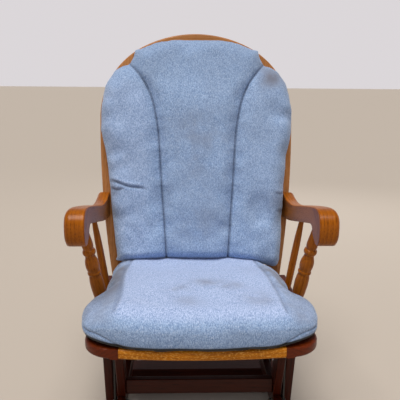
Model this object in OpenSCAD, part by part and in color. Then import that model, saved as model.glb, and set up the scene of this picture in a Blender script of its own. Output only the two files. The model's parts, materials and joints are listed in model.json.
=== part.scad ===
// Glider chair with a bent bow back, scroll arms and a four-link glide base.
// Millimetres. +Z is up, +X is the sitter's left, and the chair faces -Y.
// The origin is on the floor under the middle of the chair.
// A place along the chair is given as its depth behind the front rail's face.

/* [Seat frame] */
// Width across the seat frame
seat_w = 532; // [500:1:570]
// Depth from the front rail's face to the front of the bow, at the frame's top
seat_d = 488; // [470:1:520]
// Height of the seat frame's top above the floor
seat_z = 335; // [325:1:360]
// Thickness of the seat frame's rails
rail_t = 24; // [20:1:30]
// Width of a side rail
side_rail_w = 82; // [70:1:95]
// Depth of the front rail, front to back
front_rail_d = 72; // [55:1:85]
// Depth of the back rail, front to back
back_rail_d = 72; // [60:1:85]
// How far the back rail reaches behind the front of the bow
back_rail_reach = 28; // [26:1:34]
// How far the front rail bows forward of its ends
front_bulge = 12; // [6:1:16]
// Radius of the seat frame's front corners
corner_r = 72; // [50:1:85]

/* [Seat slats] */
// Number of slats that carry the cushion
slat_count = 5; // [4:1:6]
// Width of a slat
slat_w = 54; // [40:1:58]
// Thickness of a slat
slat_t = 10; // [8:1:13]
// Width of the rabbet that a slat's end rests in
slat_rest = 15; // [10:1:22]
// Clearance round a slat's ends
slat_play = 0.4; // [0.2:0.1:1]

/* [Back] */
// Lean of the back from upright, in degrees
recline = 13.7; // [11:0.1:16]
// Length of the back along its slope, from the seat frame's top
bow_h = 720; // [690:1:760]
// How far the bow's widest place stands out past the seat frame's side
bow_over = 20; // [12:1:30]
// Width of the bow's face
bow_w = 44; // [36:1:50]
// Thickness of the bow, front to back
bow_t = 24; // [20:1:30]
// Radius of the bow's edges
bow_edge_r = 5; // [2:0.5:8]
// Outer radius of the bow's top stretch
crown_r = 340; // [320:1:380]
// Half the angle that the top stretch turns through, in degrees
crown_half_angle = 28; // [24:1:31]
// Outer radius of the stiles' long bend below the shoulders
stile_bend_r = 3000; // [2600:20:3600]
// Length of the stile below the seat frame's top
stile_foot = 46; // [36:1:60]

/* [Back spindles] */
// Number of spindles inside the bow
spindle_count = 9; // [7:2:9]
// Distance of the outer spindles' middle from the back rail's ends
spindle_edge = 16; // [14:1:24]
// Diameter of a plain spindle at its middle
spindle_d = 15; // [12:0.5:18]
// Diameter of a plain spindle at its ends
spindle_end_d = 12; // [9:0.5:12]
// Depth of a spindle's hole
spindle_seat = 16; // [10:1:18]

/* [Arms] */
// How far an arm's rear end laps the bow
arm_lap = 17.6; // [15:0.2:20]
// Width of an arm over its scroll
arm_w = 46; // [40:1:54]
// Width of an arm at the bow
arm_rear_w = 35; // [30:1:39]
// Depth of the scroll's front behind the front rail's face
arm_front_d = 69; // [55:1:85]
// Height of the scroll's crest above the floor
arm_crest_z = 625; // [615:1:650]
// Height of the arm's outline from its lowest point to its crest
arm_h = 122; // [112:1:130]

/* [Arm posts] */
// Diameter of the turned post at its vase and its bulb
post_d = 34; // [28:1:38]
// Diameter of the turned post at its ends
post_end_d = 20; // [16:1:22]
// Depth of the turned post's holes
post_seat = 17; // [12:1:18]
// Depth of the turned post's foot behind the front rail's face
post_foot_d = 232; // [222:1:250]
// Depth of the turned post's top behind the front rail's face
post_top_d = 178; // [172:1:190]
// Distance of the turned post's foot from the side rail's edge
post_foot_inset = 24; // [20:1:30]
// Depth of the arm spindle's foot behind the front rail's face
arm_spindle_foot_d = 360; // [340:1:380]
// Depth of the arm spindle's top behind the front rail's face
arm_spindle_top_d = 345; // [330:1:370]
// Distance of the arm spindle's foot from the side rail's edge
arm_spindle_inset = 19; // [17:1:26]

/* [Glide links] */
// Distance between a link's two pivots
link_l = 155; // [140:1:165]
// Distance between the front and rear pivots
pivot_spread = 230; // [214:1:244]
// Depth of the glide's middle behind the front rail's face
glide_d = 285; // [278:1:292]
// Height of the upper pivots above the floor
pivot_z = 267; // [262:1:270]
// Width of a link's plate
link_w = 22; // [16:1:24]
// Thickness of a link's plate
link_t = 4; // [3:0.5:6]
// Wall round a link's bearing
link_eye_wall = 4; // [3:0.5:6]
// Outer diameter of a bearing
bearing_d = 22; // [20:1:24]
// Bore of a bearing
bearing_bore = 8; // [7:0.5:9]
// Width of a bearing
bearing_w = 7; // [6:0.5:8]
// Width of a bearing's outer ring
bearing_ring = 2.4; // [1.8:0.1:2.8]
// Depth of the bearing's shields below its rings
bearing_recess = 0.6; // [0.3:0.1:1]
// Radial play of a bolt in its bearing
pivot_play = 0.08; // [0.04:0.01:0.1]
// Gap between the hanging frame and the base
side_gap = 14; // [13:0.5:16]

/* [Pivot bolts] */
// Radius of a pivot bolt's flat head
bolt_head_r = 7; // [6:0.5:8]
// Thickness of a pivot bolt's flat head
bolt_head_t = 2.4; // [1.6:0.1:2.8]
// Outer radius of a spacer between bearing and wood
spacer_r = 6.5; // [5.5:0.5:8]
// Radius of a cap nut's flange
nut_flange_r = 10; // [8:0.5:12]
// Thickness of a cap nut's flange
nut_flange_t = 2; // [1.5:0.5:3]
// Radius of a cap nut's dome
nut_r = 7; // [6:0.5:7.5]
// Length of a cap nut's barrel below its dome
nut_l = 4; // [3:0.5:6]

/* [Hanging frame] */
// Thickness of the hanging frame's boards
hanger_t = 20; // [16:1:24]
// Width of a hanger leg
leg_w = 48; // [40:1:54]
// Rake of the hanger legs, in degrees
leg_rake_angle = 22; // [16:1:24]
// Clearance between the rear hanger legs and the bow
leg_gap = 2; // [1:0.5:6]
// Height of the hanger rail
hanger_rail_h = 40; // [34:1:46]
// Length of the hanger rail past its pivots
hanger_rail_over = 36; // [30:1:44]
// Height of a hanger stretcher
stretcher_h = 38; // [30:1:44]
// Thickness of a hanger stretcher
stretcher_t = 20; // [14:1:24]
// Height of the hanger stretchers' lower edges above the hanger rail
stretcher_lift = 3; // [2:1:12]

/* [Base] */
// Thickness of the base's boards
base_t = 22; // [18:1:26]
// Height of the base's top rail
top_rail_h = 44; // [40:1:46]
// Length of the top rail past its pivots
top_rail_over = 24; // [19:1:30]
// Width of a base post
base_post_w = 44; // [36:1:50]
// Rake of the base posts, in degrees
base_rake_angle = 14; // [10:1:15]
// Distance between the tops of the front and rear base posts
base_post_spread = 184; // [176:1:196]
// Length of a floor runner
runner_l = 540; // [500:1:580]
// Height of a floor runner
runner_h = 46; // [40:1:52]
// Height of the arch under a floor runner
runner_arch = 10; // [6:1:14]
// Distance of a runner's arch from its ends
runner_arch_inset = 70; // [60:1:90]
// Height of a base stretcher
base_stretcher_h = 30; // [24:1:36]
// Width of a base stretcher, front to back
base_stretcher_w = 60; // [45:1:70]
// Distance of a base stretcher from the runner's end
base_stretcher_inset = 52; // [48:1:80]
// Thickness of a floor pad
pad_t = 6; // [4:1:9]
// Radius of a floor pad
pad_r = 10; // [8:0.5:10.5]
// Distance of a floor pad's middle from the runner's end
pad_inset = 34; // [26:1:44]

/* [Frame screws] */
// Shank radius of the bolts that hold the bow to the seat frame
back_bolt_r = 3; // [2.5:0.5:4]
// Head radius of those bolts
back_bolt_head_r = 6; // [5:0.5:7]
// Depth of the holes for those heads
back_bolt_sink = 9; // [7:0.5:10]
// Length of those bolts in the side rail
back_bolt_grip = 48; // [36:1:60]
// Distance between two of those bolts
back_bolt_pitch = 20; // [17:1:23]
// Shank radius of the screws that hold an arm to the bow
arm_screw_r = 2; // [1.5:0.25:2.5]
// Head radius of the arm screws
arm_screw_head_r = 4; // [3.5:0.25:4.5]
// Depth of the holes for the arm screws' heads
arm_screw_sink = 6; // [5:0.5:7]
// Length of an arm screw in the arm
arm_screw_grip = 40; // [30:1:50]
// Distance between an arm's two screws
arm_screw_pitch = 26; // [20:1:32]
// Length of a screw's head
screw_head_l = 3.5; // [2.5:0.5:4.5]
// Radial play of the screws and tenons in their holes
fit_play = 0.1; // [0.05:0.01:0.15]

/* [Cushions] */
// How far the seat cushion reaches past the front rail
cushion_lip = 14; // [8:1:18]
// How far the seat cushion's front part reaches past the seat frame's side
cushion_over = 7; // [0:1:10]
// Clearance between the seat cushion and the arm posts' feet
cushion_post_gap = 4; // [3:1:16]
// Distance of the front part's rear end in front of the arm posts' feet
cushion_ear_gap = 34; // [32:1:50]
// Height of the seat cushion's crown
cushion_crown_h = 95; // [84:1:104]
// Width of the seat cushion's rounded edges
cushion_roll = 70; // [50:1:90]
// Thickness of the back cushion at its crown
back_pad_t = 93; // [76:1:100]
// Distance of the back cushion's widest place inside the bow's outer edge
back_pad_inset = 10; // [4:1:14]
// Distance of the back cushion's top below the bow's top
back_pad_top_gap = 27; // [18:1:36]
// Height of the back cushion's lower end along the back's slope
back_pad_foot_s = 45; // [40:1:56]
// Width of the back cushion's rounded outer edges
back_pad_roll = 48; // [36:1:60]
// Width of the rounded edges along the back cushion's seams
back_pad_seam_roll = 28; // [20:1:36]
// How far the back cushion's panels overlap at a seam
back_pad_seam_lap = 14; // [10:1:18]
// How far a cushion's edges tuck in towards what it lies on
cushion_tuck = 8; // [5:1:10]
// Clearance between a cushion and what it lies on
soft_gap = 0.4; // [0.3:0.1:0.8]

/* [Hidden] */

$fn = 64;
hull_fn = 32;
bow_fn = 360;
// Overrun of the cuts
over = 2;
// Steps between two points of a smooth outline
smooth_steps = 4;
// Points of an arc in an outline
arc_steps = 20;
// Steps along a plain spindle's swell
spindle_steps = 8;
// Most that a rounded edge takes of a narrow panel, as a share of its width
roll_limit_share = 0.4;

// Colours
oak = "#a8641f";
dark_oak = "#7a3d14";
steel = "#8d9094";
rubber = "#2b2724";
cloth = "#8ea6c4";

// Seat frame across the chair
half_w = seat_w / 2;
rail_inner = half_w - side_rail_w;

// Back: the bow is glued up from a crown, two shoulders and two stiles, each a bend of its own radius
bow_half_w = half_w + bow_over;
shoulder_r = (bow_half_w - crown_r * sin(crown_half_angle)) / (1 - sin(crown_half_angle));
crown_s = bow_h - crown_r;
shoulder_x = (crown_r - shoulder_r) * sin(crown_half_angle);
shoulder_s = crown_s + (crown_r - shoulder_r) * cos(crown_half_angle);
bend_x = bow_half_w - stile_bend_r;
stile_turn = asin((shoulder_s + stile_foot) / (stile_bend_r - bow_w / 2));
spindle_foot_y = bow_t / 2;
spindle_pitch = 2 * (rail_inner - spindle_edge) / (spindle_count - 1);
back_rise = tan(recline);

// Reach of the chair, and the origin's depth behind the front rail's face
back_reach = seat_d + (bow_t - bow_edge_r) * cos(recline) + (bow_h - bow_edge_r) * sin(recline)
    + bow_edge_r;
origin_d = (back_reach - cushion_lip) / 2;

// Seat frame along the chair
rail_z = seat_z - rail_t;
corner_x = half_w - corner_r;
bulge_r = (corner_x * corner_x + front_bulge * front_bulge) / (2 * front_bulge);
corner_d = bulge_r - sqrt(pow(bulge_r - corner_r, 2) - pow(corner_x, 2));
corner_angle = asin(corner_x / (bulge_r - corner_r));
// The front rail's joint with a side rail, as an angle round the front's centre and as a depth
joint_angle = asin(rail_inner / bulge_r);
bulge_d = bulge_r * (1 - cos(joint_angle));
back_rail_front_d = seat_d + back_rail_reach - back_rail_d;

// Hanging frame and base, as planes across the chair
hanger_x = rail_inner;
hanger_out_x = hanger_x + hanger_t;
base_x = hanger_out_x + side_gap;
base_out_x = base_x + base_t;
bearing_x = hanger_out_x + (side_gap - bearing_w) / 2;
spacer_l = (side_gap - bearing_w) / 2;
front_pivot_d = glide_d - pivot_spread / 2;
rear_pivot_d = glide_d + pivot_spread / 2;
low_pivot_z = pivot_z - link_l;
bolt_r = bearing_bore / 2 - pivot_play;
hanger_rail_z = low_pivot_z - hanger_rail_h / 2;
hanger_rail_top = low_pivot_z + hanger_rail_h / 2;
top_rail_z = pivot_z - top_rail_h / 2;
runner_z = pad_t;
runner_top = runner_z + runner_h;
stretcher_z = hanger_rail_top + stretcher_lift;
leg_spread = 2 * (bow_face_d(rail_z) - leg_gap - leg_w / cos(leg_rake_angle) / 2 - glide_d);
stretcher_d = leg_spread / 2 - (rail_z - stretcher_z - stretcher_h / 2) * tan(leg_rake_angle);

// Arms
arm_low_z = arm_crest_z - arm_h;
// Height of the arm's top at the bow, as a share of its height
arm_rear_share = 0.574;
arm_rear_d = seat_d + (arm_low_z + arm_h * arm_rear_share - seat_z) * back_rise;
arm_l = arm_rear_d - arm_front_d;
// Points of an arm's side view, as shares of its length and height: top, front to back
arm_top_share = [
    [0, 0.62], [0.004, 0.8], [0.022, 0.935], [0.071, 1], [0.17, 0.963], [0.405, 0.779],
    [0.646, 0.574], [0.809, 0.508], [0.92, 0.53], [1.03, 0.59]
];
// The underside of the arm, back to front, to where the scroll's inner curve starts
arm_under_share = [
    [1, 0], [0.94, 0.005], [0.759, 0.111], [0.495, 0.344], [0.289, 0.529], [0.2, 0.598]
];
// The inner curve, the tip and the lower front of the scroll
scroll_share = [[0.158, 0.55], [0.134, 0.43], [0.086, 0.352], [0.03, 0.35], [0.006, 0.46]];
// How far the arm has narrowed to its rear width, as shares along it
arm_narrow_share = [[0.33, 0], [0.45, 0.3], [0.56, 0.75], [0.68, 1]];
arm_screw_z = arm_low_z + arm_h * arm_rear_share / 2;
arm_inner = stile_edge_x((arm_screw_z - seat_z) / cos(recline)) - arm_lap;
arm_mid_x = arm_inner + arm_w / 2;
arm_screw_x = arm_inner + arm_lap / 2;

// Arm posts and spindles
post_foot = [half_w - post_foot_inset, from_front(post_foot_d), seat_z];
post_top = [arm_mid_x, from_front(post_top_d), arm_under_z(post_top_d)];
arm_spindle_foot = [half_w - arm_spindle_inset, from_front(arm_spindle_foot_d), seat_z];
arm_spindle_top = [
    arm_inner + arm_width(arm_spindle_top_d) / 2,
    from_front(arm_spindle_top_d),
    arm_under_z(arm_spindle_top_d)
];
// Seat cushion: its front part ends in front of the arm posts, and its waist runs between them
cushion_half_w = half_w + cushion_over;
cushion_waist = half_w - post_foot_inset - post_end_d / 2 - cushion_post_gap;
cushion_ear_d = post_foot_d - cushion_ear_gap;
// Half-widths of the front part and of the rest, as shares of its length and width
cushion_front_share = [
    [0, 0.12], [0.035, 0.42], [0.1, 0.685], [0.155, 0.8], [0.24, 0.897], [0.363, 0.962], [0.54, 1],
    [0.73, 0.995], [0.905, 0.955], [1, 0.875]
];
cushion_rear_share = [
    [0.06, 1], [0.18, 0.996], [0.3, 1.01], [0.54, 1.008], [0.75, 0.982], [0.92, 0.945], [0.985, 0.88],
    [1, 0.8]
];
// Height of the seat cushion from front to rear, as shares of its length and its crown
cushion_height_share = [
    [0, 0.42], [0.01, 0.58], [0.027, 0.71], [0.047, 0.83], [0.067, 0.915], [0.107, 0.98], [0.147, 1],
    [0.407, 1], [0.487, 0.965], [0.627, 0.885], [0.747, 0.8], [0.867, 0.72], [0.947, 0.69], [0.985, 0.53],
    [1, 0.4]
];
// Height of the seat cushion's edges, as shares of the edge's width and of the height inside it
cushion_roll_share = [[0, 0.36], [0.1, 0.5], [0.25, 0.61], [0.5, 0.76], [0.75, 0.87], [1, 0.97]];
cushion_l = cushion_lip + seat_d - soft_gap;

// Back cushion: its outline and its seams, as shares of its length and half its width
back_pad_half_w = bow_half_w - back_pad_inset;
back_pad_l = bow_h - back_pad_top_gap - back_pad_foot_s;
back_pad_edge_share = [
    [0, 0.825], [0.02, 0.836], [0.113, 0.865], [0.21, 0.892], [0.368, 0.924], [0.469, 0.953], [0.546, 0.99],
    [0.624, 1.005], [0.68, 1], [0.751, 0.978], [0.794, 0.945], [0.825, 0.905], [0.856, 0.858], [0.872, 0.8],
    [0.885, 0.707], [0.916, 0.678], [0.95, 0.655], [0.958, 0.585], [0.977, 0.475], [0.991, 0.36], [1, 0.145]
];
back_pad_seam_share = [
    [0, 0.315], [0.128, 0.333], [0.268, 0.359], [0.392, 0.377], [0.5, 0.391], [0.577, 0.406], [0.655, 0.435],
    [0.721, 0.471], [0.782, 0.533], [0.833, 0.612], [0.885, 0.707]
];
// Height of the back cushion's crown up its length, and of its side panels' top ends
back_pad_height_share = [
    [0, 0.38], [0.01, 0.62], [0.02, 0.8], [0.035, 0.93], [0.06, 1], [0.67, 1], [0.76, 0.94], [0.86, 0.86],
    [0.9, 0.815], [0.934, 0.77], [0.957, 0.71], [0.98, 0.58], [0.992, 0.43], [1, 0.3]
];
back_pad_lobe_share = [[0.76, 1], [0.825, 0.92], [0.85, 0.7], [0.872, 0.48]];
// Height of the back cushion's edges, as shares of the edge's width and of the height inside it
back_pad_roll_share = [[0, 0.44], [0.1, 0.53], [0.3, 0.77], [0.6, 0.9], [1, 0.98]];
// Where the panels' sections lie, as shares of the cushion's length
back_pad_row_share = [
    0, 0.01, 0.03, 0.06, 0.2, 0.37, 0.5, 0.6, 0.68, 0.751, 0.794, 0.825, 0.856, 0.872, 0.885, 0.916, 0.95,
    0.958, 0.977, 0.991, 1
];

// Radius of the turned post along its length, as shares of the length and of the swell over its ends
post_turning_share = [
    [0, 0], [0.03, 0.05], [0.1, 0.42], [0.2, 0.83], [0.31, 1], [0.39, 0.86], [0.43, 0.62],
    [0.445, 0.9], [0.462, 0.9], [0.475, 0.66], [0.51, 0.9], [0.545, 1], [0.59, 0.82], [0.63, 0.38],
    [0.655, 0.3], [0.67, 0.72], [0.69, 0.88], [0.71, 0.72], [0.722, 0.36], [0.75, 0.52],
    [0.79, 0.5], [0.88, 0.2], [0.96, 0.03], [1, 0]
];

// Points of an arc round a centre, without its first
function arc(x, y, r, from, to) = [
    for (k = [1 : arc_steps]) let (a = from + (to - from) * k / arc_steps) [x + r * cos(a), y + r * sin(a)]
];
// Y of a place at depth d behind the front rail's face
function from_front(d) = d - origin_d;
// Depth of the bow's front face at height z
function bow_face_d(z) = seat_d + (z - seat_z) * back_rise;
// X of a stile's outer edge at height s along the back's slope
function stile_edge_x(s) = bend_x + sqrt(pow(stile_bend_r, 2) - pow(shoulder_s - s, 2));
// Height of the bow's inner edge along the slope, at x from the middle
function bow_inner_s(x) = abs(x) < (crown_r - bow_w) * sin(crown_half_angle)
    ? crown_s + sqrt(pow(crown_r - bow_w, 2) - x * x)
    : shoulder_s + sqrt(pow(shoulder_r - bow_w, 2) - pow(abs(x) - shoulder_x, 2));
// Height of the arm's underside at depth d
function arm_under_z(d) = arm_low_z + arm_h * lookup((d - arm_front_d) / arm_l, arm_under_share);
// Width of the arm at depth d
function arm_width(d) = arm_w - (arm_w - arm_rear_w)
    * lookup((d - arm_front_d) / arm_l, arm_narrow_share);
// A smooth line through points, with the first and last as its ends
function between(a, b, c, d, t) = (2 * b + (c - a) * t + (2 * a - 5 * b + 4 * c - d) * t * t
    + (3 * b - a - 3 * c + d) * t * t * t) / 2;
function smooth(points) = [
    for (i = [0 : len(points) - 2], k = [0 : smooth_steps - 1])
        between(points[max(i - 1, 0)], points[i], points[i + 1],
            points[min(i + 2, len(points) - 1)], k / smooth_steps),
    points[len(points) - 1]
];
// Section of a panel from x1 to x2 with a crown height t: points as width and height, with its edges rolled
// over the widths r1 and r2 by a table of shares
function panel_section(x1, x2, t, r1, r2, roll_share) = concat(
    [[x1 + cushion_tuck, 0], [x1, cushion_tuck]],
    [for (p = roll_share) [x1 + r1 * p[0], t * p[1]]],
    [[(x1 + x2) / 2, t]],
    [for (k = [len(roll_share) - 1 : -1 : 0]) [x2 - r2 * roll_share[k][0], t * roll_share[k][1]]],
    [[x2, cushion_tuck], [x2 - cushion_tuck, 0]]
);
// Half the back cushion's width, and its seam's distance from the middle, at a share of its length
function pad_edge_x(share) = back_pad_half_w * lookup(share, back_pad_edge_share);
function pad_seam_x(share) = back_pad_half_w * lookup(share, back_pad_seam_share);
// Places along the chair of an outline given in shares of the arm
function arm_points(shares) = [
    for (p = shares) [from_front(arm_front_d + p[0] * arm_l), arm_low_z + p[1] * arm_h]
];

// Draws its children on both sides of the chair
module both_sides() {
    children();
    mirror([1, 0, 0]) children();
}
// Mirrors its children about the glide's middle, from the front to the rear
module to_rear() {
    translate([0, 2 * from_front(glide_d), 0]) mirror([0, 1, 0]) children();
}
module front_and_rear() {
    children();
    to_rear() children();
}
// Mirrors its children from the sitter's left to the right
module to_right() {
    mirror([1, 0, 0]) children();
}
// Extrudes a side view, drawn as Y and Z, from x for a thickness t
module board(x, t) {
    translate([x, 0, 0]) rotate([90, 0, 90]) linear_extrude(t) children();
}
// Sets its children upright from p1 towards p2, with their X level
module along(p1, p2) {
    v = p2 - p1;
    translate(p1) rotate([0, acos(v[2] / norm(v)), atan2(v[1], v[0])]) rotate([0, 0, 90]) children();
}
// A cylinder along +X from x
module across(x, y, z, r, l) {
    translate([x, y, z]) rotate([0, 90, 0]) cylinder(r = r, h = l);
}
// A cylinder along -Y from y
module forward(x, y, z, r, l) {
    translate([x, y, z]) rotate([90, 0, 0]) cylinder(r = r, h = l);
}
// Puts its children in the frame of the back: X across, Z up the slope, Y from the bow's front face
module in_back() {
    translate([0, from_front(seat_d), seat_z]) rotate([-recline, 0, 0]) children();
}
// Everything behind the bow's front face
module behind_bow_face() {
    in_back() translate([-bow_half_w * 2, 0, -bow_h]) cube([bow_half_w * 4, bow_h, bow_h * 2]);
}

// Plan of the front rail, with its bowed front
module front_rail_plan() {
    polygon(concat(
        [[rail_inner, front_rail_d], [-rail_inner, front_rail_d], [-rail_inner, bulge_d]],
        arc(0, bulge_r, bulge_r, -90 - joint_angle, -90 + joint_angle)));
}
// Plan of a side rail, with the bowed front's end and a rounded corner
module side_rail_plan() {
    polygon(concat(
        [[rail_inner, seat_d], [rail_inner, bulge_d]],
        arc(0, bulge_r, bulge_r, -90 + joint_angle, -90 + corner_angle),
        arc(corner_x, corner_d, corner_r, -90 + corner_angle, 0),
        [[half_w, seat_d]]));
}
// A board of the seat frame, from a plan drawn as depths
module seat_board() {
    translate([0, -origin_d, rail_z]) linear_extrude(rail_t) children();
}
module side_rail() {
    color(dark_oak) difference() {
        seat_board() side_rail_plan();
        behind_bow_face();
        translate([rail_inner - over, from_front(front_rail_d), seat_z - slat_t])
            cube([slat_rest + over, back_rail_front_d - front_rail_d, slat_t + over]);
        along(post_foot, post_top) translate([0, 0, -post_seat])
            cylinder(d = post_end_d + 2 * fit_play, h = post_seat + rail_t);
        along(arm_spindle_foot, arm_spindle_top) translate([0, 0, -spindle_seat])
            cylinder(d = spindle_end_d + 2 * fit_play, h = spindle_seat + rail_t);
        for (x = back_bolt_xs)
            forward(x, from_front(bow_face_d(back_bolt_z)) + over, back_bolt_z, back_bolt_r + fit_play,
                back_bolt_grip + 2 * over);
    }
}
module front_rail() {
    color(oak) seat_board() front_rail_plan();
}
module back_rail() {
    color(dark_oak) difference() {
        seat_board() translate([-rail_inner, back_rail_front_d]) square([2 * rail_inner, back_rail_d]);
        for (x = spindle_xs) in_back() translate([x, spindle_foot_y, -spindle_seat])
            cylinder(d = spindle_end_d + 2 * fit_play, h = spindle_seat + rail_t);
    }
}
module seat_slats() {
    span = back_rail_front_d - front_rail_d;
    pitch = span / slat_count;
    color(dark_oak) for (i = [0 : slat_count - 1])
        translate([-rail_inner - slat_rest + slat_play,
            from_front(front_rail_d + pitch * (i + 0.5) - slat_w / 2), seat_z - slat_t])
            cube([2 * (rail_inner + slat_rest - slat_play), slat_w, slat_t]);
}

spindle_xs = [for (i = [0 : spindle_count - 1]) (i - (spindle_count - 1) / 2) * spindle_pitch];
back_bolt_z = rail_z + rail_t / 2;
back_bolt_mid_x = stile_edge_x(-rail_t / 2) - bow_w / 2;
back_bolt_xs = [back_bolt_mid_x - back_bolt_pitch / 2, back_bolt_mid_x + back_bolt_pitch / 2];

// Section of the bow: its face width along X from the outer edge inwards, its thickness along Y
module bow_section() {
    translate([-bow_w, bow_edge_r]) square([bow_w, bow_t - 2 * bow_edge_r]);
    translate([bow_edge_r - bow_w, 0]) square([bow_w - 2 * bow_edge_r, bow_t]);
    for (x = [bow_edge_r - bow_w, -bow_edge_r], y = [bow_edge_r, bow_t - bow_edge_r])
        translate([x, y]) circle(bow_edge_r, $fn = 32);
}
// A stretch of the bow bent round a centre, from one angle for a turn
module bow_bend(x, s, r, from, turn) {
    translate([x, bow_t, s]) rotate([90, 0, 0]) rotate([0, 0, from])
        rotate_extrude(angle = turn, $fn = bow_fn) translate([r, 0]) bow_section();
}
module spindle_holes() {
    for (x = spindle_xs) translate([x, spindle_foot_y, bow_inner_s(x) - bow_w])
        cylinder(d = spindle_end_d + 2 * fit_play, h = bow_w + spindle_seat);
}
module bow_crown() {
    color(oak) in_back() difference() {
        bow_bend(0, crown_s, crown_r, 90 - crown_half_angle, 2 * crown_half_angle);
        spindle_holes();
    }
}
module bow_shoulder() {
    color(oak) in_back() difference() {
        bow_bend(shoulder_x, shoulder_s, shoulder_r, 0, 90 - crown_half_angle);
        spindle_holes();
    }
}
module stile() {
    color(oak) difference() {
        in_back() bow_bend(bend_x, shoulder_s, stile_bend_r, -stile_turn, stile_turn);
        for (x = back_bolt_xs)
            screw_hole(x, back_bolt_z, back_bolt_r, back_bolt_head_r, back_bolt_sink);
        for (z = arm_screw_zs)
            screw_hole(arm_screw_x, z, arm_screw_r, arm_screw_head_r, arm_screw_sink);
    }
}
// A level hole through the bow from behind, with a wider mouth for the head
module screw_hole(x, z, r, head_r, sink) {
    rear = from_front(bow_face_d(z)) + bow_t / cos(recline);
    forward(x, rear + bow_t, z, r + fit_play, 3 * bow_t);
    forward(x, rear + bow_t, z, head_r + fit_play, bow_t + sink);
}
// A screw in such a hole, reaching a grip past the bow's front face
module bow_screw(x, z, r, head_r, sink, grip) {
    seat = from_front(bow_face_d(z)) + bow_t / cos(recline) - sink;
    color(steel) {
        forward(x, seat, z, r, seat - from_front(bow_face_d(z)) + grip);
        forward(x, seat + screw_head_l, z, head_r, screw_head_l);
    }
}
arm_screw_zs = [arm_screw_z - arm_screw_pitch / 2, arm_screw_z + arm_screw_pitch / 2];

module back_bolts() {
    both_sides() for (x = back_bolt_xs) bow_screw(x, back_bolt_z, back_bolt_r,
        back_bolt_head_r, back_bolt_sink, back_bolt_grip);
}
module arm_screws() {
    both_sides() for (z = arm_screw_zs) bow_screw(arm_screw_x, z, arm_screw_r, arm_screw_head_r,
        arm_screw_sink, arm_screw_grip);
}

// A plain spindle along +Z, with a seat past each end
module spindle(l) {
    end_r = spindle_end_d / 2;
    swell = (spindle_d - spindle_end_d) / 2;
    rotate_extrude() polygon([
        [0, -spindle_seat], [end_r, -spindle_seat], [end_r, 0],
        for (k = [1 : spindle_steps - 1])
            [end_r + swell * sin(180 * k / spindle_steps), l * k / spindle_steps],
        [end_r, l], [end_r, l + spindle_seat], [0, l + spindle_seat]
    ]);
}
module back_spindles() {
    color(dark_oak) for (x = spindle_xs) in_back() translate([x, spindle_foot_y, 0])
        spindle(bow_inner_s(x));
}

// Side view of an arm, up to the bow
module arm_side() {
    polygon(concat(smooth(arm_points(arm_top_share)),
        smooth(arm_points(concat(arm_under_share, scroll_share)))));
}
// Plan of an arm from its straight inner face
module arm_plan() {
    rear_x = arm_inner + arm_rear_w;
    far_d = seat_d + arm_crest_z;
    polygon(concat(
        [[arm_inner, from_front(arm_front_d - over)], [arm_inner + arm_w, from_front(arm_front_d - over)]],
        smooth([for (p = arm_narrow_share)
            [arm_inner + arm_w - (arm_w - arm_rear_w) * p[1], from_front(arm_front_d + p[0] * arm_l)]]),
        [[rear_x, from_front(far_d)], [arm_inner, from_front(far_d)]]));
}
module arm() {
    color(oak) difference() {
        intersection() {
            board(arm_inner, arm_w) arm_side();
            translate([0, 0, arm_low_z - over]) linear_extrude(arm_h + 2 * over) arm_plan();
        }
        behind_bow_face();
        along(post_foot, post_top) translate([0, 0, norm(post_top - post_foot) - post_seat])
            cylinder(d = post_end_d + 2 * fit_play, h = 2 * post_seat);
        along(arm_spindle_foot, arm_spindle_top)
            translate([0, 0, norm(arm_spindle_top - arm_spindle_foot) - spindle_seat])
            cylinder(d = spindle_end_d + 2 * fit_play, h = 2 * spindle_seat);
        for (z = arm_screw_zs)
            forward(arm_screw_x, from_front(bow_face_d(z)) + over, z, arm_screw_r + fit_play,
                arm_screw_grip + 2 * over);
    }
}
// The turned post: a long bulb, a ring, a vase, a neck, a bead and a tapered top
module arm_post() {
    l = norm(post_top - post_foot);
    end_r = post_end_d / 2;
    swell = (post_d - post_end_d) / 2;
    color(oak) along(post_foot, post_top) rotate_extrude() polygon(concat(
        [[0, -post_seat], [end_r, -post_seat]],
        smooth([for (p = post_turning_share) [end_r + swell * p[1], l * p[0]]]),
        [[end_r, l + post_seat], [0, l + post_seat]]));
}
module arm_spindle() {
    color(oak) along(arm_spindle_foot, arm_spindle_top)
        spindle(norm(arm_spindle_top - arm_spindle_foot));
}

// Side view of a raked board from its top middle down to a lower height
module raked(d, top, low, w, rake) {
    half = w / cos(rake) / 2;
    shift = (top - low) * tan(rake);
    polygon([
        [from_front(d - half), top], [from_front(d + half), top],
        [from_front(d + half + shift), low], [from_front(d - half + shift), low]
    ]);
}
// Side view of a rail with rounded ends over the two pivots
module pivot_rail(z, h, reach) {
    r = h / 2;
    straight_l = pivot_spread + 2 * reach - 2 * r;
    translate([from_front(glide_d) - straight_l / 2, z]) square([straight_l, h]);
    for (side = [-1, 1])
        translate([from_front(glide_d) + side * straight_l / 2, z + r]) circle(r, $fn = 96);
}
module hanger_leg() {
    color(dark_oak) board(hanger_x, hanger_t)
        raked(glide_d - leg_spread / 2, rail_z, hanger_rail_top, leg_w, leg_rake_angle);
}
module hanger_rail() {
    color(dark_oak) difference() {
        board(hanger_x, hanger_t) pivot_rail(hanger_rail_z, hanger_rail_h, hanger_rail_over);
        front_and_rear() across(hanger_x - over, from_front(front_pivot_d), low_pivot_z,
            bolt_r + fit_play, hanger_t + 2 * over);
    }
}
module hanger_stretcher() {
    color(dark_oak) translate([-hanger_x, from_front(glide_d - stretcher_d) - stretcher_t / 2,
        stretcher_z]) cube([2 * hanger_x, stretcher_t, stretcher_h]);
}

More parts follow.
